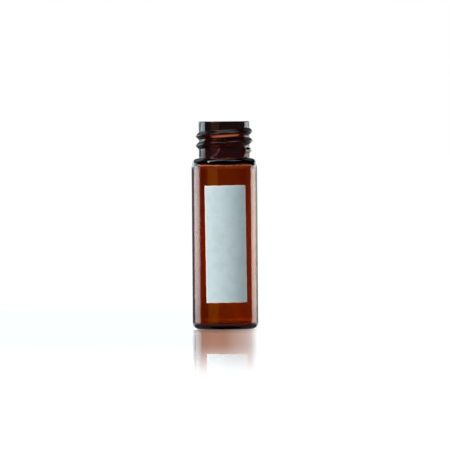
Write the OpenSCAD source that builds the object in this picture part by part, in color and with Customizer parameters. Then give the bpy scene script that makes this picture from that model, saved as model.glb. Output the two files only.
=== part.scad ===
// Screw-neck sample vial of amber glass, with a blank write-on label.
// Stands upright on its base. The origin is the centre of the base on the surface it stands on,
// +Z runs up the axis to the mouth, and -Y is the labelled front. Millimetres.

/* [Body] */
// Height from the standing ring to the lip
overall_h = 46.2; // [40:0.1:80]
// Outside diameter of the straight wall
body_d = 14.65; // [14:0.05:20]
// Thickness of the straight wall
wall_t = 1.1; // [0.8:0.05:1.4]
// Radius of the rounded shoulder
shoulder_r = 1.8; // [1.4:0.05:2.6]
// Thickness of the glass under the neck root
shoulder_t = 1.2; // [0.9:0.05:1.6]
// Radius inside the shoulder, where the wall turns in
inner_shoulder_r = 0.7; // [0.4:0.05:1]

/* [Base] */
// Radius of the rounded heel
heel_r = 1.5; // [1:0.05:2]
// Height of the hollow under the base
punt_h = 0.5; // [0.3:0.05:0.8]
// Width of the flat ring that the vial stands on
ring_w = 0.8; // [0.5:0.05:1.4]
// Thickness of the base at its centre
base_t = 1.1; // [0.9:0.05:2]
// Radius inside the heel, where the floor meets the wall
inner_heel_r = 0.7; // [0.5:0.05:1.4]

/* [Neck] */
// Height from the neck root to the lip
neck_h = 8.2; // [7.4:0.1:11]
// Outside diameter of the neck between the threads
neck_d = 11.3; // [10.6:0.05:12]
// Radius of the fillet at the neck's root
root_r = 0.35; // [0.2:0.05:0.6]
// Diameter of the mouth bore
mouth_d = 8; // [7:0.05:8.6]
// Radius of the lip's outer edge
lip_r = 0.35; // [0.2:0.05:0.5]
// Radius of the lip's inner edge
mouth_r = 0.4; // [0.2:0.05:0.5]
// Radius of the throat, where the bore opens into the body
throat_r = 1.2; // [0.5:0.05:1.2]

/* [Thread] */
// Diameter over the thread crests
thread_d = 12.7; // [12.4:0.05:13]
// Rise of the thread in one turn
thread_pitch = 2.117; // [1.9:0.001:2.4]
// Width of the ridge where it leaves the neck
thread_w = 1.4; // [1.2:0.05:1.7]
// Length of the thread in turns
thread_turns = 2.45; // [1.7:0.05:2.7]
// Depth of the thread's upper end below the lip
thread_drop = 1.55; // [1.3:0.05:2]
// Direction of the thread's upper end round the neck, from +X
thread_end = 110; // [0:5:355]
// Angle over which the thread's upper end fades into the neck
upper_fade = 100; // [30:5:150]
// Angle over which the thread's lower end fades into the neck
lower_fade = 90; // [30:5:180]

/* [Label] */
// Width of the label round the wall
label_w = 9.6; // [6:0.1:18]
// Height of the label
label_h = 26; // [10:0.1:28]
// Thickness of the label
label_t = 0.1; // [0.08:0.01:0.15]
// Turn of the label's middle from the front, towards +X
label_turn = 2; // [-20:0.5:20]
// Lean of the label from upright, its top towards -X
label_lean = 0.6; // [0:0.1:1.5]

/* [Hidden] */
$fn = 96;
dome_sides = 720;
margin = 1;

// Levels and radii that follow from the sizes above
body_r = body_d / 2;
cavity_r = body_r - wall_t;
neck_r = neck_d / 2;
bore_r = mouth_d / 2;
root_z = overall_h - neck_h;
wall_top = root_z - shoulder_r;
cavity_top = root_z - shoulder_t;

// The fillet at the neck's root touches the neck and the shoulder, so the centres of the two arcs
// are the sum of their radii apart
root_centre_r = neck_r + root_r;
root_lean = max(0, root_centre_r - (body_r - shoulder_r));
root_centre_z = wall_top + sqrt(pow(shoulder_r + root_r, 2) - pow(root_lean, 2));

// The hollow under the base and the floor above it are caps of spheres with one centre
punt_edge = body_r - heel_r - ring_w;
punt_r = (punt_edge * punt_edge + punt_h * punt_h) / (2 * punt_h);
punt_centre = punt_h - punt_r;
floor_edge_z = punt_centre + sqrt(pow(punt_r + base_t, 2) - pow(cavity_r - inner_heel_r, 2));

// The thread's section is an arch whose feet lie just inside the neck
thread_h = thread_d / 2 - neck_r;
thread_foot = 0.2;
thread_anchor = 0.6;
thread_full = thread_h + thread_foot;
thread_half_w = thread_w / 2 * sqrt(thread_full / thread_h);
thread_sweep = 360 * thread_turns;
turn_sides = 36;
arch_sides = 6;
thread_steps = ceil(turn_sides * thread_turns);

label_z = (heel_r + wall_top) / 2;
label_chord = 2 * body_r * sin(label_w / body_r * 90 / PI);

// Half of a rectangle turned into a disc, its upper outer edge rounded by top_r and its lower by foot_r
module rounded_half(r, z0, z1, foot_r, top_r) {
    difference() {
        translate([0, z0]) square([r, z1 - z0]);
        if (foot_r > 0) corner_cut(r - foot_r, z0 + foot_r, foot_r, 1, -1);
        if (top_r > 0) corner_cut(r - top_r, z1 - top_r, top_r, 1, 1);
    }
}

// What a rounded corner loses: the square beyond the centre of its arc, less the arc's circle
module corner_cut(x, z, r, side_x, side_z) {
    difference() {
        translate([side_x > 0 ? x : x - r - margin, side_z > 0 ? z : z - r - margin])
            square(r + margin);
        translate([x, z]) circle(r);
    }
}

// What fills the corner between the shoulder and the neck, hollowed by an arc that touches both
module root_fillet() {
    difference() {
        polygon([
            [neck_r - margin, wall_top],
            [root_centre_r - root_lean, wall_top],
            [root_centre_r, root_centre_z],
            [neck_r - margin, root_centre_z]]);
        translate([root_centre_r, root_centre_z]) circle(root_r);
    }
}

// Section of the glass outside, from the standing ring over the shoulder to the lip
module outside_section() {
    difference() {
        union() {
            rounded_half(body_r, 0, root_z, heel_r, shoulder_r);
            root_fillet();
            rounded_half(neck_r, wall_top, overall_h, 0, lip_r);
        }
        translate([0, punt_centre]) circle(punt_r, $fn = dome_sides);
    }
}

// Section of the space inside, from the domed floor through the throat and out of the mouth
module inside_section() {
    difference() {
        rounded_half(cavity_r, floor_edge_z, cavity_top, inner_heel_r, inner_shoulder_r);
        translate([0, punt_centre]) circle(punt_r + base_t, $fn = dome_sides);
    }
    translate([0, cavity_top - throat_r]) square([bore_r, overall_h + margin - cavity_top + throat_r]);
    corner_cut(bore_r + throat_r, cavity_top + throat_r, throat_r, -1, -1);
    corner_cut(bore_r + mouth_r, overall_h - mouth_r, mouth_r, -1, 1);
}

// How far a fade has risen, t of the way along it: it starts and ends without a step
function eased(t) = t * t * (3 - 2 * t);

// Height of the ridge's crest over its feet, a degrees up from the thread's lower end
function crest(a) = thread_full * eased(min(1, a / lower_fade, (thread_sweep - a) / upper_fade));

// One section of the ridge: the arch from its lower foot to its upper one, then back inside the glass
function ridge_section(a) = concat(
    [for (j = [0 : arch_sides])
        let (u = 2 * j / arch_sides - 1)
        [neck_r - thread_foot + crest(a) * (1 - u * u), u * thread_half_w]],
    [[neck_r - thread_anchor, thread_half_w], [neck_r - thread_anchor, -thread_half_w]]);

// A point of a section, carried round the neck and up the helix
function on_helix(p, a) =
    let (turn = thread_end - thread_sweep + a,
         z = overall_h - thread_drop - thread_pitch * (thread_sweep - a) / 360)
    [p[0] * cos(turn), p[0] * sin(turn), z + p[1]];

// The right-hand thread that the cap screws onto, as one ridge that fades in and out
module thread() {
    corners = arch_sides + 3;
    points = [for (i = [0 : thread_steps])
        let (a = thread_sweep * i / thread_steps)
        for (p = ridge_section(a)) on_helix(p, a)];
    sides = [for (i = [0 : thread_steps - 1], j = [0 : corners - 1])
        let (k = (j + 1) % corners, low = i * corners, high = low + corners)
        [low + j, low + k, high + k, high + j]];
    first = [for (j = [0 : corners - 1]) corners - 1 - j];
    last = [for (j = [0 : corners - 1]) thread_steps * corners + j];
    polyhedron(points, concat([first], sides, [last]));
}

// The blown and tooled glass, one piece from its base to its lip
module vial() {
    color("#5c1d08") {
        rotate_extrude() difference() {
            outside_section();
            inside_section();
        }
        thread();
    }
}

// Paper label stuck on the front of the wall, a little askew
module write_on_label() {
    color("#b4c4c9")
    rotate(label_turn)
    intersection() {
        difference() {
            translate([0, 0, heel_r]) cylinder(r = body_r + label_t, h = wall_top - heel_r);
            cylinder(r = body_r, h = overall_h);
        }
        translate([0, -body_r, label_z])
            rotate([0, -label_lean, 0])
            cube([label_chord, 2 * (body_r - margin), label_h], center = true);
    }
}

vial();
write_on_label();
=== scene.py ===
import math

import bpy
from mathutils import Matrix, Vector


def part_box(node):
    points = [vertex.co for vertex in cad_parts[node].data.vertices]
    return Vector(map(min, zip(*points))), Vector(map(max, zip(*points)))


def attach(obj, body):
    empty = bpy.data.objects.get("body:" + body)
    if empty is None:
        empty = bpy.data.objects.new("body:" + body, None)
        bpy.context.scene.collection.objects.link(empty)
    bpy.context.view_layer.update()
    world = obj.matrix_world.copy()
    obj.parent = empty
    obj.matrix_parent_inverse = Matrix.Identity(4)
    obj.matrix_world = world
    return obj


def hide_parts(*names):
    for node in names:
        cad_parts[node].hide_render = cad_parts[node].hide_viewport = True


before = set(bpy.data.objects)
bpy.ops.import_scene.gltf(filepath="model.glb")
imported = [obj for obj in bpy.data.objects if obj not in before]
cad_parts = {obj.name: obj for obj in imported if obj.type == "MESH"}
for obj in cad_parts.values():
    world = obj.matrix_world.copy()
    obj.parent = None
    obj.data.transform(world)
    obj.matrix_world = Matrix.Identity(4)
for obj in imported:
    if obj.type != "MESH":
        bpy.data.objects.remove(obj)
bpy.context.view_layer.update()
MM = 0.001


# ---------------------------------------------------------------------------------------------
# The vial: amber tubing, its base closed and pushed up into a shallow hollow, its other end
# heated and tooled into shoulder, neck, screw thread and lip. One piece of glass, so the outline
# runs from the axis under the base over the outside, the lip and the inside back to the axis.
# ---------------------------------------------------------------------------------------------
vial_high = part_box("vial")[1]
overall_h = vial_high.z
body_r = vial_high.x
wall_t = 1.1 * MM
shoulder_r = 1.3 * MM
ease_r = 5.0 * MM
ease_turn = 16
shoulder_t = 1.2 * MM
inner_shoulder_r = 0.7 * MM
heel_r = 1.5 * MM
ring_w = 0.8 * MM
punt_h = 0.5 * MM
base_t = 1.1 * MM
inner_heel_r = 0.7 * MM
neck_h = 8.2 * MM
neck_r = 5.65 * MM
root_r = 0.2 * MM
bore_r = 4.0 * MM
lip_r = 0.2 * MM
mouth_r = 0.4 * MM
throat_r = 1.5 * MM
hold = 0.04 * MM
touching = 0.001 * MM

# The shoulder turns in on a wide arc that eases it out of the wall, and then on a tight one.
cavity_r = body_r - wall_t
root_z = overall_h - neck_h
ease_drop = ease_r - shoulder_r
shoulder_x = body_r - ease_r + ease_drop * math.cos(math.radians(ease_turn))
shoulder_z = root_z - shoulder_r
wall_top = shoulder_z - ease_drop * math.sin(math.radians(ease_turn))
cavity_top = root_z - shoulder_t
root_reach = shoulder_r + root_r
root_turn = math.degrees(math.acos((neck_r + root_r - shoulder_x) / root_reach))
root_centre = (neck_r + root_r, shoulder_z + root_reach * math.sin(math.radians(root_turn)))

# The hollow under the base and the floor above it are caps of spheres with one centre.
punt_edge = body_r - heel_r - ring_w
punt_r = (punt_edge ** 2 + punt_h ** 2) / (2 * punt_h)
punt_centre = punt_h - punt_r
punt_turn = math.degrees(math.asin(punt_edge / punt_r))
floor_r = punt_r + base_t
floor_edge_r = cavity_r - inner_heel_r
floor_edge_z = punt_centre + math.sqrt(floor_r ** 2 - floor_edge_r ** 2)
floor_turn = math.degrees(math.asin(floor_edge_r / floor_r))


def arc(centre, radius, start, stop, steps):
    """Points on an arc, angles in degrees from +r towards +z, the first one left out."""
    angles = [math.radians(start + (stop - start) * i / steps) for i in range(1, steps + 1)]
    return [(centre[0] + radius * math.cos(a), centre[1] + radius * math.sin(a)) for a in angles]


def straight(start, stop, steps):
    """Points on a line, the first left out, with one more held close to each end."""
    length = math.dist(start, stop)
    shares = [hold / length] + [i / steps for i in range(1, steps)] + [1 - hold / length, 1]
    return [tuple(a + (b - a) * s for a, b in zip(start, stop)) for s in shares]


outline = [(0, punt_h)]
outline += arc((0, punt_centre), punt_r, 90, 90 - punt_turn, steps=14)
outline += straight((punt_edge, 0), (body_r - heel_r, 0), steps=2)
outline += arc((body_r - heel_r, heel_r), heel_r, -90, 0, steps=16)
outline += straight((body_r, heel_r), (body_r, wall_top), steps=24)
outline += arc((body_r - ease_r, wall_top), ease_r, 0, ease_turn, steps=6)
outline += arc((shoulder_x, shoulder_z), shoulder_r, ease_turn, root_turn, steps=16)
outline += arc(root_centre, root_r, 180 + root_turn, 180, steps=8)
outline += straight((neck_r, root_centre[1]), (neck_r, overall_h - lip_r), steps=92)
outline += arc((neck_r - lip_r, overall_h - lip_r), lip_r, 0, 90, steps=8)
outline += straight((neck_r - lip_r, overall_h), (bore_r + mouth_r, overall_h), steps=2)
outline += arc((bore_r + mouth_r, overall_h - mouth_r), mouth_r, 90, 180, steps=8)
outline += straight((bore_r, overall_h - mouth_r), (bore_r, cavity_top + throat_r), steps=10)
outline += arc((bore_r + throat_r, cavity_top + throat_r), throat_r, 180, 270, steps=12)
outline += straight((bore_r + throat_r, cavity_top), (cavity_r - inner_shoulder_r, cavity_top), steps=2)
outline += arc((cavity_r - inner_shoulder_r, cavity_top - inner_shoulder_r), inner_shoulder_r,
               90, 0, steps=12)
outline += straight((cavity_r, cavity_top - inner_shoulder_r), (cavity_r, floor_edge_z + inner_heel_r),
                    steps=24)
outline += arc((floor_edge_r, floor_edge_z + inner_heel_r), inner_heel_r, 0, -90, steps=12)
outline += arc((0, punt_centre), floor_r, 90 - floor_turn, 90, steps=14)


class Socket:
    """A socket of a node tree: arithmetic on it adds Math nodes to the tree."""

    def __init__(self, graph, link):
        self.graph = graph
        self.link = link

    def sibling(self, name):
        """Another output of the same node."""
        return Socket(self.graph, self.link.node.outputs[name])

    def __add__(self, other):
        return self.graph.maths("ADD", self, other)

    def __sub__(self, other):
        return self.graph.maths("SUBTRACT", self, other)

    def __rsub__(self, other):
        return self.graph.maths("SUBTRACT", other, self)

    def __mul__(self, other):
        return self.graph.maths("MULTIPLY", self, other)

    def __truediv__(self, other):
        return self.graph.maths("DIVIDE", self, other)

    def __rtruediv__(self, other):
        return self.graph.maths("DIVIDE", other, self)

    def __pow__(self, other):
        return self.graph.maths("POWER", self, other)

    __radd__ = __add__
    __rmul__ = __mul__


class Graph:
    """A node tree that is filled by one method, for any node, and by short names for common ones."""

    def __init__(self, tree):
        self.tree = tree
        tree.nodes.clear()

    def add(self, kind, settings=None, inputs=None, output=0):
        """Adds a node, sets its settings, fills its sockets and gives one of its outputs."""
        node = self.tree.nodes.new(kind)
        for name, value in (settings or {}).items():
            if name == "stops":
                self.fill_ramp(node.color_ramp.elements, value)
            else:
                setattr(node, name, value)
        for key, value in (inputs or {}).items():
            if isinstance(value, Socket):
                self.tree.links.new(value.link, node.inputs[key])
            else:
                node.inputs[key].default_value = value
        return Socket(self, node.outputs[output]) if len(node.outputs) else node

    def fill_ramp(self, elements, stops):
        """Gives a colour ramp its stops, as pairs of a place and a colour."""
        while len(elements) < len(stops):
            elements.new(1)
        for element, (place, colour) in zip(elements, stops):
            element.position = place
            element.color = colour

    def maths(self, operation, *values):
        return self.add("ShaderNodeMath", {"operation": operation}, dict(enumerate(values)))

    def eased(self, value, start, stop, low=0.0, high=1.0):
        """Goes from low to high, without a corner, while a value goes from start to stop."""
        return self.add("ShaderNodeMapRange", {"interpolation_type": "SMOOTHSTEP"}, {
            "Value": value, "From Min": start, "From Max": stop, "To Min": low, "To Max": high})

    def between(self, value, low, high, soft):
        """1 between two values and 0 beyond them, with soft edges."""
        rise = self.eased(value, low - soft, low + soft)
        fall = self.eased(value, high - soft, high + soft)
        return rise * (1 - fall)

    def mixed(self, share, first, second):
        """The first colour where the share is 0, and the second where it is 1."""
        return self.add("ShaderNodeMix", {"data_type": "RGBA"}, {0: share, 6: first, 7: second}, 2)

    def scaled(self, colour, scale):
        return self.add("ShaderNodeVectorMath", {"operation": "SCALE"}, {0: colour, "Scale": scale})

    def ray(self, kind):
        return self.add("ShaderNodeLightPath", output=kind)


# The thread's ridge stands on the neck as an arch that eases out of the glass. It starts at an
# upper end under the lip, runs down round the neck, and fades at both ends over part of a turn.
thread_h = 0.7 * MM
thread_half_w = 0.9 * MM
thread_pitch = 2.117 * MM
thread_turns = 2.45
thread_top = overall_h - 1.55 * MM
thread_end = math.radians(110)
upper_fade = 100 / 360
lower_fade = 90 / 360
vial_sides = 288

glass_tree = bpy.data.node_groups.new("turned_glass_with_thread", "GeometryNodeTree")
glass_sizes = {
    "Neck radius": neck_r,
    "Neck root": root_z,
    "Thread height": thread_h,
    "Thread half width": thread_half_w,
    "Thread pitch": thread_pitch,
    "Thread turns": thread_turns,
    "Thread top": thread_top,
    "Thread end": thread_end,
    "Upper fade": upper_fade,
    "Lower fade": lower_fade,
}
face = glass_tree.interface
face.new_socket("Geometry", in_out="INPUT", socket_type="NodeSocketGeometry")
size_sockets = {name: face.new_socket(name, in_out="INPUT", socket_type="NodeSocketFloat")
                for name in glass_sizes}
rows_socket = face.new_socket("Rows", in_out="INPUT", socket_type="NodeSocketInt")
sides_socket = face.new_socket("Sides", in_out="INPUT", socket_type="NodeSocketInt")
material_socket = face.new_socket("Material", in_out="INPUT", socket_type="NodeSocketMaterial")
face.new_socket("Geometry", in_out="OUTPUT", socket_type="NodeSocketGeometry")

# A grid has one row of points for each point of the outline, and its columns go round the axis.
g = Graph(glass_tree)
given = g.add("NodeGroupInput")
size = {name: given.sibling(name) for name in list(glass_sizes) + ["Rows", "Sides", "Material"]}
around = g.add("FunctionNodeIntegerMath", {"operation": "ADD"}, {0: size["Sides"], 1: 1})
index = g.add("GeometryNodeInputIndex")
row = g.add("FunctionNodeIntegerMath", {"operation": "MODULO"}, {0: index, 1: size["Rows"]})
column = g.add("FunctionNodeIntegerMath", {"operation": "DIVIDE_FLOOR"}, {0: index, 1: size["Rows"]})
grid = g.add("GeometryNodeMeshGrid", {}, {"Vertices X": around, "Vertices Y": size["Rows"]})
place = g.add("GeometryNodeSampleIndex", {"data_type": "FLOAT_VECTOR", "domain": "POINT"}, {
    "Geometry": given, "Value": g.add("GeometryNodeInputPosition"), "Index": row})
outline_r = g.add("ShaderNodeSeparateXYZ", {}, {0: place}, "X")
outline_z = outline_r.sibling("Z")
turn = column * (2 * math.pi) / size["Sides"]

# The ridge lies on the neck's outside only. How far down the thread a direction lies, in turns,
# has a whole part that follows from the height, so every point has one nearest stretch of ridge.
on_neck = g.maths("COMPARE", outline_r, size["Neck radius"], touching)
above_root = g.maths("GREATER_THAN", outline_z, size["Neck root"])
part_turn = g.maths("FRACT", (size["Thread end"] - turn) / (2 * math.pi) + 1)
depth = (size["Thread top"] - outline_z) / size["Thread pitch"]
whole_turns = g.maths("ROUND", depth - part_turn)
along = part_turn + whole_turns
across = (depth - along) * size["Thread pitch"] / size["Thread half width"]
to_end = g.maths("MINIMUM", along / size["Upper fade"],
                 (size["Thread turns"] - along) / size["Lower fade"])
risen = g.eased(to_end, 0.0, 1.0)
arch = g.maths("MAXIMUM", 1 - across * across, 0.0) ** 2
radius = outline_r + arch * risen * size["Thread height"] * on_neck * above_root

spot = g.add("ShaderNodeCombineXYZ", {}, {
    0: radius * g.maths("COSINE", turn), 1: radius * g.maths("SINE", turn), 2: outline_z})
turned = g.add("GeometryNodeSetPosition", {}, {"Geometry": grid, "Position": spot})
closed = g.add("GeometryNodeMergeByDistance", {}, {"Geometry": turned, "Distance": touching})
smooth = g.add("GeometryNodeSetShadeSmooth", {}, {"Geometry": closed})
real = g.add("GeometryNodeRealizeInstances", {}, {"Geometry": smooth})
coated = g.add("GeometryNodeSetMaterial", {}, {"Geometry": real, "Material": size["Material"]})
g.add("NodeGroupOutput", {}, {0: coated})

# Amber glass lets red through and stops blue. The colour is all in its depth, so thick stretches
# such as the base go almost black, and the surface itself is clear and bright. The stops are the
# glass's absorption of red, green and blue, per metre.
amber = bpy.data.materials.new("amber_glass")
amber.use_nodes = True
g = Graph(amber.node_tree)
amber_stops = (980, 2060, 3900)
amber_density = 4000
amber_tint = [1 - stop / amber_density for stop in amber_stops] + [1]
glass = g.add("ShaderNodeBsdfPrincipled", {}, {
    "Base Color": (1, 1, 1, 1), "Roughness": 0.0, "IOR": 1.5, "Transmission Weight": 1.0})
depth_colour = g.add("ShaderNodeVolumeAbsorption", {}, {"Color": amber_tint, "Density": amber_density})
g.add("ShaderNodeOutputMaterial", {}, {"Surface": glass, "Volume": depth_colour})

vial_mesh = bpy.data.meshes.new("vial_outline")
vial_mesh.from_pydata([(r, 0, z) for r, z in outline],
                      [(i, i + 1) for i in range(len(outline) - 1)], [])
vial_maker = bpy.data.objects.new("vial_maker", vial_mesh)
bpy.context.scene.collection.objects.link(vial_maker)
turning = vial_maker.modifiers.new("turning", "NODES")
turning.node_group = glass_tree
for name, value in glass_sizes.items():
    turning[size_sockets[name].identifier] = value
turning[rows_socket.identifier] = len(outline)
turning[sides_socket.identifier] = vial_sides
turning[material_socket.identifier] = amber


def finished(maker, name):
    """The plain mesh that an object's modifiers make, as a new object, with the old one gone."""
    evaluated = maker.evaluated_get(bpy.context.evaluated_depsgraph_get())
    mesh = bpy.data.meshes.new_from_object(evaluated)
    mesh.name = name
    piece = bpy.data.objects.new(name, mesh)
    bpy.context.scene.collection.objects.link(piece)
    bpy.data.objects.remove(maker)
    return piece


vial = finished(vial_maker, "glass_vial")
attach(vial, "root")
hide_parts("vial")


# ---------------------------------------------------------------------------------------------
# The write-on label: a strip of matt coated paper, blank, stuck on the front of the wall a
# little askew. Its cut rim is paler than the face and wanders a little, and the paste shows
# through as faint clouds.
# ---------------------------------------------------------------------------------------------
label_w = 9.58 * MM
label_h = 26.0 * MM
label_t = 0.085 * MM
label_gap = 0.01 * MM
label_turn = math.radians(2.0)
label_lean = math.radians(0.6)
label_z = 19.0 * MM
label_columns = 48
label_rows = 110
rim_wave = 0.03 * MM
paper_r = body_r + label_gap

# The cut is not quite straight: the long edges wander in two waves, and the short ones in one.
label_mesh = bpy.data.meshes.new("write_on_label_paper")
label_points = []
label_uvs = []
for j in range(label_rows + 1):
    for i in range(label_columns + 1):
        u = i / label_columns - 0.5
        v = j / label_rows - 0.5
        side_wave = rim_wave * 2 * u * math.sin(41 * v + 2.0) * math.sin(17 * v + 0.7)
        end_wave = rim_wave * 2 * v * math.sin(23 * u + 1.1)
        flat_x = u * label_w + side_wave
        flat_z = v * label_h + end_wave
        x = flat_x * math.cos(label_lean) - flat_z * math.sin(label_lean)
        z = flat_x * math.sin(label_lean) + flat_z * math.cos(label_lean)
        round_wall = x / body_r + label_turn
        label_points.append((paper_r * math.sin(round_wall), -paper_r * math.cos(round_wall), label_z + z))
        label_uvs.append((u + 0.5, v + 0.5))
row_n = label_columns + 1
label_corners = [j * row_n + i for j in range(label_rows) for i in range(label_columns)]
label_mesh.from_pydata(label_points, [], [(k, k + 1, k + row_n + 1, k + row_n) for k in label_corners])
uv_layer = label_mesh.uv_layers.new(name="face")
for loop in label_mesh.loops:
    uv_layer.data[loop.index].uv = label_uvs[loop.vertex_index]
label_mesh.polygons.foreach_set("use_smooth", [True] * len(label_mesh.polygons))

paper = bpy.data.materials.new("matt_label_paper")
paper.use_nodes = True
g = Graph(paper.node_tree)
cloud_dark = (0.555, 0.648, 0.682, 1)
cloud_light = (0.593, 0.685, 0.719, 1)
rim_pale = (0.78, 0.71, 0.68, 1)
rim_full = 0.272 * MM
rim_gone = 0.442 * MM
uv_across = g.add("ShaderNodeSeparateXYZ", {}, {0: g.add("ShaderNodeUVMap", {"uv_map": "face"})}, "X")
uv_up = uv_across.sibling("Y")


def to_edge(coordinate, length):
    """Distance from the nearer of two opposite edges of the label."""
    return (0.5 - g.maths("ABSOLUTE", coordinate - 0.5)) * length


edge = g.maths("MINIMUM", to_edge(uv_across, label_w), to_edge(uv_up, label_h))
rim = g.eased(edge, rim_full, rim_gone, 1.0, 0.0)
on_paper = g.add("ShaderNodeTexCoord", output="Object")
clouds = g.add("ShaderNodeTexNoise", {}, {
    "Vector": on_paper, "Scale": 520.0, "Detail": 3.0, "Roughness": 0.55})
cloudy = g.mixed(g.eased(clouds, 0.36, 0.56), cloud_dark, cloud_light)
fibres = g.add("ShaderNodeTexNoise", {}, {"Vector": on_paper, "Scale": 6000.0, "Detail": 4.0})
fibre_bump = g.add("ShaderNodeBump", {}, {"Strength": 0.25, "Distance": 0.02 * MM, "Height": fibres})
matt_paper = g.add("ShaderNodeBsdfPrincipled", {}, {
    "Base Color": g.mixed(rim, cloudy, rim_pale), "Roughness": 0.6, "Normal": fibre_bump, "IOR": 1.45})
g.add("ShaderNodeOutputMaterial", {}, {"Surface": matt_paper})
label_mesh.materials.append(paper)

label_maker = bpy.data.objects.new("label_maker", label_mesh)
bpy.context.scene.collection.objects.link(label_maker)
thicken = label_maker.modifiers.new("thickness", "SOLIDIFY")
thicken.thickness = label_t
thicken.offset = 1
label = finished(label_maker, "write_on_label_paper")
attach(label, "root")
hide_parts("write_on_label")


# ---------------------------------------------------------------------------------------------
# The floor: a wide sheet of glossy white plastic. It mirrors the vial, whose mirror image fades
# with distance and towards the right, and where it mirrors nothing it is as white as the tent.
# Seen through the glass it carries painted light and shade: painted shade close round the vial and a
# painted bright ring a little further out.
# ---------------------------------------------------------------------------------------------
floor_reach = 6.0
floor_mesh = bpy.data.meshes.new("floor")
floor_mesh.from_pydata([(-floor_reach, -floor_reach, 0), (floor_reach, -floor_reach, 0),
                        (floor_reach, floor_reach, 0), (-floor_reach, floor_reach, 0)],
                       [], [(0, 1, 2, 3)])
floor = bpy.data.objects.new("floor", floor_mesh)
bpy.context.scene.collection.objects.link(floor)

white_sheet = bpy.data.materials.new("glossy_white_sheet")
white_sheet.use_nodes = True
g = Graph(white_sheet.node_tree)
sheet_grey = (0.5, 0.5, 0.5, 1)
sheet_light = 0.8
mirror_tint = (0.725, 0.925, 1.0)
camera_ray = g.ray("Is Camera Ray")
through_ray = g.ray("Is Transmission Ray")
mirrored_ray = g.ray("Is Glossy Ray") * (1 - through_ray)
on_floor = g.add("ShaderNodeTexCoord", output="Object")
away = g.add("ShaderNodeVectorMath", {"operation": "LENGTH"}, {0: on_floor}, "Value")
floor_x = g.add("ShaderNodeSeparateXYZ", {}, {0: on_floor}, "X")
before_vial = -1 * floor_x.sibling("Y") - body_r

# How much the sheet mirrors: less with distance from the vial, and less towards the right.
glare_reach = 0.016
glare_stops = [(-7.6, 0.94), (-5.6, 0.9), (-4.8, 0.94), (0.0, 0.93), (1.9, 0.84), (3.2, 0.79),
               (4.5, 0.72), (5.4, 0.62), (6.3, 0.46), (7.0, 0.32), (7.6, 0.2)]
glare = g.add("ShaderNodeValToRGB", {"stops": [
    (at * MM / glare_reach + 0.5, (part, part, part, 1)) for at, part in glare_stops]},
    {0: floor_x / glare_reach + 0.5})
near_gloss = g.eased(away, 0.09, 0.34, 1.05, 0.0)
far_gloss = g.eased(away, 0.25, 0.6, 0.08, 0.0)
gloss = g.add("ShaderNodeFresnel", {}, {"IOR": 1.5})
mirror_share = (near_gloss + far_gloss) * gloss * glare

# The sheet's own light makes up for what the mirror's tint takes. It dims to a painted contact shadow at
# the vial's front. Seen through the glass it carries painted shade within about 4 cm of the vial, a
# painted bright ring some 5 to 7 cm out, and a level that changes further away.
under = g.add("ShaderNodeCombineXYZ", {}, {
    part: (1 - mirror_share * mirror_tint[part]) / (1 - mirror_share) for part in range(3)})
contact_side = g.eased(g.maths("ABSOLUTE", floor_x), 0.0045, 0.0078, 0.3, 0.0)
contact_front = g.eased(before_vial, 0.002, 0.03, 1.0, 0.0)
# Painted light and shade for rays through the glass, by distance from the vial: dim within 4 cm, brightest
# at 5 to 7 cm.
painted_glow_reach = 4.0
painted_glow_stops = [(0.0, 0.6), (0.04, 0.6), (0.048, 2.0), (0.054, 3.8), (0.064, 3.8), (0.074, 2.0),
             (0.1, 1.1), (0.25, 1.2), (1.1, 1.45), (2.0, 1.2), (3.0, 0.95), (4.0, 0.7)]
painted_glow_behind = g.add("ShaderNodeValToRGB", {"stops": [
    (at / painted_glow_reach, (part / painted_glow_reach, part / painted_glow_reach, part / painted_glow_reach, 1))
    for at, part in painted_glow_stops]}, {0: away / painted_glow_reach})
seen_level = camera_ray * sheet_light * (1 - contact_side * contact_front)
level = seen_level + through_ray * painted_glow_behind * painted_glow_reach
glow = g.add("ShaderNodeEmission", {}, {"Color": g.scaled(under, level), "Strength": 1.0})
matt = g.add("ShaderNodeBsdfDiffuse", {}, {"Color": sheet_grey})
plain = g.add("ShaderNodeAddShader", {}, {0: glow, 1: matt})

# In front of the vial the mirror's shading leans as if the sheet bowed up to it a little, steeper
# the nearer, which lifts what it mirrors there.
bow = 0.00034
bow_nearest = 0.006
in_front = g.maths("GREATER_THAN", before_vial, 0.0)
lean = -bow / g.maths("MAXIMUM", before_vial, bow_nearest) * in_front
leaning = g.add("ShaderNodeCombineXYZ", {}, {0: 0.0, 1: lean, 2: 1.0})
mirror = g.add("ShaderNodeBsdfAnisotropic", {}, {
    "Color": list(mirror_tint) + [1], "Roughness": 0.01,
    "Normal": g.add("ShaderNodeVectorMath", {"operation": "NORMALIZE"}, {0: leaning})})
polished = g.add("ShaderNodeMixShader", {}, {0: mirror_share, 1: plain, 2: mirror})
unseen = g.add("ShaderNodeBsdfTransparent")
unmirrored = g.add("ShaderNodeMixShader", {}, {0: mirrored_ray, 1: polished, 2: unseen})
g.add("ShaderNodeOutputMaterial", {}, {"Surface": unmirrored})
floor_mesh.materials.append(white_sheet)


# ---------------------------------------------------------------------------------------------
# The surround: a white tent of thin cloth. The glass mirrors what is drawn in it by direction: a
# pale panel at each side, a warm card in front to the left, and small lights above and below.
# Bearings are in degrees from straight behind the vial towards +X, and white is 1.
# ---------------------------------------------------------------------------------------------
world = bpy.data.worlds.new("studio")
bpy.context.scene.world = world
world.use_nodes = True
g = Graph(world.node_tree)
direction = g.add("ShaderNodeTexCoord", output="Generated")
east = g.add("ShaderNodeSeparateXYZ", {}, {0: direction}, "X")
north = east.sibling("Y")
up = east.sibling("Z")
bearing = g.maths("ARCTAN2", east, north) * (180 / math.pi)
white = (1, 1, 1, 1)


def sine(degrees):
    return math.sin(math.radians(degrees))


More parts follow.
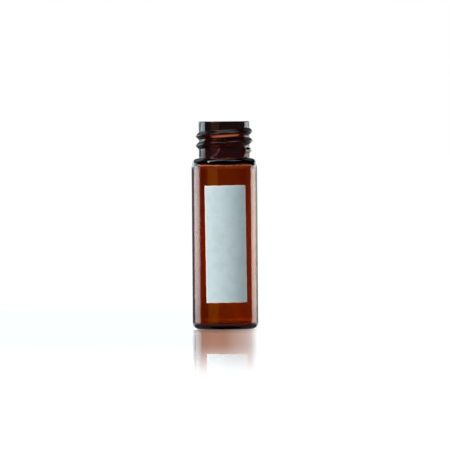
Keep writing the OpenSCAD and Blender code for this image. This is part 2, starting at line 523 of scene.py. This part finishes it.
# What stands along the horizon, as the straight wall mirrors it and as the neck mirrors it. A
# ramp's colours stop at 1, so it holds them as shares of the brightest.
brightest = 8.0
wall_horizon = [
    (-159, (0.0, 0.0, 0.0)),
    (-153, (1.5, 0.54, 0.02)),
    (-120, (1.5, 0.54, 0.02)),
    (-116, (0.0, 0.0, 0.0)),
    (-98, (0.0, 0.0, 0.0)),
    (-87, (0.6, 0.04, 0.03)),
    (-83, (1.7, 0.9, 0.7)),
    (-79, (6.7, 4.4, 3.7)),
    (-72, (6.8, 5.8, 5.3)),
    (-65, (5.8, 5.6, 5.4)),
    (-58, (5.3, 5.5, 5.7)),
    (-50, (4.9, 5.0, 5.3)),
    (-45, (1.2, 1.2, 1.3)),
    (-38, (0.2, 0.2, 0.22)),
    (-14, (0.25, 0.25, 0.25)),
    (-8, (1.0, 1.0, 1.0)),
    (15, (1.0, 1.0, 1.0)),
    (34, (0.8, 0.9, 0.85)),
    (43, (3.6, 3.6, 3.2)),
    (51, (5.8, 5.4, 4.8)),
    (59, (7.2, 5.9, 5.1)),
    (67, (8.0, 5.8, 4.8)),
    (73, (7.8, 3.6, 2.6)),
    (76, (0.8, 0.2, 0.1)),
    (104, (0.3, 0.0, 0.0)),
    (116, (0.0, 0.0, 0.0)),
]
neck_horizon = [
    (-160, (0.05, 0.05, 0.05)),
    (-156, (0.7, 0.24, 0.15)),
    (-120, (0.7, 0.24, 0.15)),
    (-116, (0.05, 0.05, 0.05)),
    (-86, (0.05, 0.05, 0.05)),
    (-80, (3.0, 3.7, 4.1)),
    (-62, (4.2, 5.2, 5.7)),
    (-52, (3.6, 4.4, 4.8)),
    (-47, (0.6, 0.8, 0.9)),
    (-12, (0.6, 0.8, 0.9)),
    (-8, (1.0, 1.0, 1.0)),
    (15, (1.0, 1.0, 1.0)),
    (35, (0.85, 0.95, 0.95)),
    (40, (3.5, 3.7, 3.5)),
    (68, (4.1, 4.1, 4.0)),
    (74, (1.0, 0.8, 0.8)),
    (78, (0.05, 0.05, 0.05)),
]


def panorama(views):
    """The colours that stand round the vial, from a list of bearings."""
    round_view = g.add("ShaderNodeMapRange", {}, {"Value": bearing, "From Min": -180.0, "From Max": 180.0})
    stops = [((at + 180) / 360, [part / brightest for part in colour] + [1]) for at, colour in views]
    return g.add("ShaderNodeValToRGB", {"stops": stops}, {0: round_view})


# The lower half of the wall mirrors the panels brightest, and parts of the neck mirror them dark.
wall_level = 0.93
wall_boost = 0.21
lower_half = g.eased(up, -0.029, -0.026) * g.eased(up, -0.0175, -0.0075, 1.0, 0.0)
wall_view = g.scaled(panorama(wall_horizon), lower_half * wall_boost + wall_level)
neck_reach = 0.008
neck_stops = [(-0.0062, 0.42), (-0.0046, 0.45), (-0.0039, 0.85), (-0.0031, 0.8),
              (-0.0029, 0.35), (-0.0019, 0.35), (-0.0017, 0.8), (-0.0012, 0.85)]
neck_level = g.add("ShaderNodeValToRGB", {"stops": [
    (at / neck_reach + 1, (part, part, part, 1)) for at, part in neck_stops]},
    {0: up / neck_reach + 1})
neck_view = g.scaled(panorama(neck_horizon), neck_level)
panels = g.mixed(g.eased(up, -0.0062, -0.0056), wall_view, neck_view)
panel_height = g.between(up, sine(-1.7), sine(7), 0.03) + g.between(up, sine(-12), sine(-1.7), 0.012) * 0.3
lit = g.scaled(panels, panel_height * brightest)

# A low strip light in front, weaker on the right and lower towards the sides.
not_behind = g.maths("LESS_THAN", north, 0.4)
facing = g.maths("MAXIMUM", (1 - north) / 2, 0.02) ** 0.42
strip_right = 1 - g.between(east, 0.3, 2, 0.3) * 0.4
low_strip = g.between(up / facing, sine(13.5), sine(18.5), 0.008) * not_behind * strip_right

# A light overhead and the bend of the tent behind the vial, both stronger on the left.
overhead = g.between(up, 0.8, 2, 0.06) * g.between(north, -0.33, 0.06, 0.05) * (2.1 - east)
bend_height = g.between(up, 0.35, 0.75, 0.1) * g.between(north, 0.4, 0.9, 0.1)
bend_sides = g.between(g.maths("ABSOLUTE", east), 0.2, 0.8, 0.1)
bend = bend_height * bend_sides * (0.4 - east * 0.45)

# A faint glow from the table below, a faint haze at eye level that is redder low on the neck, and
# a small lamp in front to the left.
table = g.between(up, sine(-60), sine(-5), 0.03)
haze = g.between(up, -0.0058, 0.02, 0.0006)
red_haze = g.between(up, -0.0058, -0.0042, 0.0003)
small_lamp = g.between(up, sine(32), sine(45), 0.03) * g.between(bearing, -117, -110, 1)

# Part of a ring, which the neck mirrors low down on its left as a curved streak.
ring = ((bearing + 98) / 60) ** 2 + ((-0.0039 - up) / 0.00144) ** 2
streak_part = g.between(bearing, -165, -100, 3) * g.between(up, -0.0058, -0.0038, 0.0001)
streak = g.between(ring, 0.93, 1.07, 0.05) * streak_part

# Small lights behind the vial, which the rounded glass mirrors close to its outline.
at_outline = g.between(north, 0.72, 0.97, 0.01)
outline_high = g.between(up, sine(2), sine(11), 0.008) * at_outline * 1.6
outline_low = g.between(up, sine(-13), sine(-2.6), 0.01) * at_outline * 0.8
left_panel_top = g.between(up, sine(3), sine(14), 0.015) * g.between(bearing, -68, -30, 4) * 1.5
outline_lights = outline_high + outline_low + left_panel_top

for light, colour in [(low_strip, (8.64, 3.24, 1.98)),
                      (overhead, (0.8, 1.0, 1.05)),
                      (bend, (0.75, 1.0, 1.05)),
                      (small_lamp, (22.0, 22.0, 22.0)),
                      (table, (0.15, 0.15, 0.15)),
                      (haze, (0.08, 0.06, 0.08)),
                      (red_haze, (0.2, 0.0, 0.0)),
                      (streak, (2.0, 1.0, 1.0)),
                      (outline_lights, (0.9, 1.0, 1.03))]:
    lit = g.add("ShaderNodeVectorMath", {"operation": "MULTIPLY_ADD"}, {0: light, 1: colour, 2: lit})

# Straight behind the vial the tent is plain white. Seen through the glass it is white all round,
# with a strong cold light high up, and it lights what is matt evenly and coolly.
straight_behind = g.between(bearing, -11, 11, 2) * g.between(up, sine(-3), sine(10), 0.02)
mirrored = g.mixed(straight_behind, lit, white)
high_up = g.between(up, sine(24), 2, 0.03)
seen_through = g.add("ShaderNodeVectorMath", {"operation": "MULTIPLY_ADD"}, {
    0: high_up, 1: (2.1, 6.6, 160.0), 2: (1.0, 1.0, 1.0)})
cool_light = (0.46, 0.54, 0.55, 1)
tent = g.mixed(g.ray("Is Glossy Ray"), cool_light, mirrored)
tent = g.mixed(g.ray("Is Transmission Ray"), tent, seen_through)
tent = g.mixed(g.ray("Is Camera Ray"), tent, white)
g.add("ShaderNodeOutputWorld", {}, {
    "Surface": g.add("ShaderNodeBackground", {}, {"Color": tent, "Strength": 1.0})})


# ---------------------------------------------------------------------------------------------
# The camera: a long lens far in front of the vial and level with its lip, so that the vial's
# edges stay nearly parallel. It is rolled by half a degree.
# ---------------------------------------------------------------------------------------------
camera_away = 1.5
view_w = 0.1001
film_w = 36
view_roll = math.radians(0.47)
aim = Vector((0.000045, 0, 0.023135))
camera_data = bpy.data.cameras.new("camera")
camera = bpy.data.objects.new("camera", camera_data)
bpy.context.scene.collection.objects.link(camera)
bpy.context.scene.camera = camera
camera_data.sensor_width = film_w
camera_data.lens = film_w * camera_away / view_w
camera.location = (0, -camera_away, overall_h)
camera.rotation_euler = (aim - camera.location).to_track_quat("-Z", "Y").to_euler()
camera.rotation_euler.rotate_axis("Z", -view_roll)


# ---------------------------------------------------------------------------------------------
# The cards: a black card close behind the neck and a black shelf below it keep the neck dark, and
# a white shelf near the floor lights the heel. They are seen only through the glass, and the
# shelves lie edge on to the camera.
# ---------------------------------------------------------------------------------------------
card_half = 0.02
card_y = 0.008
card_heights = (root_z - 2.1 * MM, overall_h + 0.5 * MM)
black_shelf_z = 0.0275
black_shelf_y = (0.02, 0.05)
white_shelf_z = 0.012
white_shelf_y = (0.02, 0.055)
black_level = 0.01
white_level = 4.2


def shelf(height, depths):
    """Corners of a shelf that drops away from the camera along the line of view."""
    drop = (overall_h - height) / camera_away
    return [(x, y, height - y * drop) for y in depths for x in (-card_half, card_half)]


def add_card(name, corners, level):
    """A card of one brightness, with one face for every four corners."""
    mesh = bpy.data.meshes.new(name)
    mesh.from_pydata(corners, [], [(k, k + 1, k + 3, k + 2) for k in range(0, len(corners), 4)])
    card = bpy.data.objects.new(name, mesh)
    bpy.context.scene.collection.objects.link(card)
    card.visible_camera = False
    card.visible_diffuse = False
    card.visible_shadow = False
    material = bpy.data.materials.new(name)
    material.use_nodes = True
    tree = Graph(material.node_tree)
    light = tree.add("ShaderNodeEmission", {}, {"Color": white, "Strength": level})
    clear = tree.add("ShaderNodeBsdfTransparent")
    seen = tree.add("ShaderNodeMixShader", {}, {0: tree.ray("Is Transmission Ray"), 1: clear, 2: light})
    tree.add("ShaderNodeOutputMaterial", {}, {"Surface": seen})
    mesh.materials.append(material)


upright_card = [(x, card_y, z) for z in card_heights for x in (-card_half, card_half)]
add_card("black_card", upright_card + shelf(black_shelf_z, black_shelf_y), black_level)
add_card("white_shelf", shelf(white_shelf_z, white_shelf_y), white_level)


# ---------------------------------------------------------------------------------------------
# The lamp: a soft box in front to the left, which shades the label round the wall and throws the
# vial's shadow on the floor. It isn't mirrored: the panels of the surround are, in its place.
# ---------------------------------------------------------------------------------------------
lamp_away = 0.5
lamp_z = 0.15
lamp_aim_z = 0.023
lamp_bearing = math.radians(55)
lamp_data = bpy.data.lights.new("soft_lamp", "AREA")
lamp_data.shape = "RECTANGLE"
lamp_data.size = 0.25
lamp_data.size_y = 0.35
lamp_data.energy = 2.15
lamp = bpy.data.objects.new("soft_lamp", lamp_data)
bpy.context.scene.collection.objects.link(lamp)
lamp.location = (-lamp_away * math.sin(lamp_bearing), -lamp_away * math.cos(lamp_bearing), lamp_z)
lamp_ray = Vector((0, 0, lamp_aim_z)) - lamp.location
lamp.rotation_euler = lamp_ray.to_track_quat("-Z", "Y").to_euler()
lamp.visible_glossy = False
lamp.visible_transmission = False

bpy.context.scene.view_settings.view_transform = "Standard"
